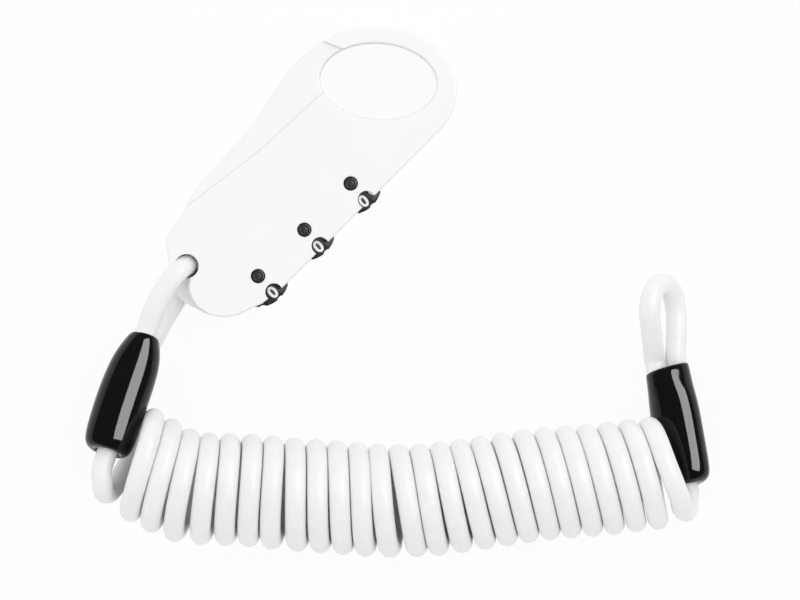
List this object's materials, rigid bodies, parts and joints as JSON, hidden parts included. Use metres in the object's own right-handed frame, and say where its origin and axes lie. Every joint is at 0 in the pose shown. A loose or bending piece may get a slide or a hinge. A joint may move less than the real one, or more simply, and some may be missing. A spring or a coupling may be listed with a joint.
{
  "type": "cable luggage lock",
  "caption": "Flat white snap-hook combination lock with an inward gate, black number dials along one edge and a white coiled cable ending in a loop.",
  "frame": {"origin": "centre of the lock's outline on its flat back face, without the cable", "axes": "+Y to the hook end, +X to the edge with the dials, +Z out of the front face"},
  "size_m": [0.1219, 0.1136, 0.0235],
  "materials": {
    "case_white": "satin moulded ABS",
    "dial_black": "fine matt",
    "cable_white": "smooth PVC jacket",
    "sleeve_black": "glossy",
    "steel": "plain",
    "cam_brass": "plain",
    "aluminium": "plain"
  },
  "bodies": {
    "case": {"front_shell": "case_white", "rear_shell": "case_white", "gate_pin": "steel", "bar_spring_1": "steel", "bar_spring_2": "steel", "code_cam_1": "cam_brass", "code_cam_2": "cam_brass", "code_cam_3": "cam_brass", "dial_axle_1": "steel", "dial_axle_2": "steel", "dial_axle_3": "steel", "detent_spring_1": "steel", "detent_spring_2": "steel", "detent_spring_3": "steel", "case_screws": "steel", "lock_end_ferrule": "aluminium", "lock_end_sleeve": "sleeve_black", "free_end_ferrule": "aluminium", "free_end_sleeve": "sleeve_black", "cable_lock_loop": "cable_white", "cable_coil": "cable_white", "cable_free_loop": "cable_white"},
    "gate": {"gate": "case_white"},
    "lock_bar": {"lock_bar": "steel"},
    "dial_1": {"dial_1": "dial_black"},
    "dial_2": {"dial_2": "dial_black"},
    "dial_3": {"dial_3": "dial_black"}
  },
  "joints": [
    {"name": "gate_swing", "type": "hinge", "parent": "case", "child": "gate", "pos_m": [-0.0068, -0.02, 0.007], "axis": [0, 0, -1], "range_deg": [0, 15], "stiffness_Nm_per_rad": 0.05, "springref_deg": -11.46},
    {"name": "lock_bar_slide", "type": "slide", "parent": "case", "child": "lock_bar", "axis": [1, 0, 0], "range_m": [0, 0.002], "deforming": ["bar_spring_1", "bar_spring_2"]},
    {"name": "dial_1_turn", "type": "hinge", "parent": "case", "child": "dial_1", "pos_m": [0.00925, 0.0042, 0.01], "axis": [0, 0, 1], "continuous": true, "deforming": ["detent_spring_1"]},
    {"name": "dial_2_turn", "type": "hinge", "parent": "case", "child": "dial_2", "pos_m": [0.00925, -0.0089, 0.01], "axis": [0, 0, 1], "continuous": true, "deforming": ["detent_spring_2"]},
    {"name": "dial_3_turn", "type": "hinge", "parent": "case", "child": "dial_3", "pos_m": [0.00925, -0.022, 0.01], "axis": [0, 0, 1], "continuous": true, "deforming": ["detent_spring_3"]}
  ],
  "couplings": [
    {"joint": "lock_bar_slide", "follows": "gate_swing", "m_per_rad": 0.0076}
  ]
}
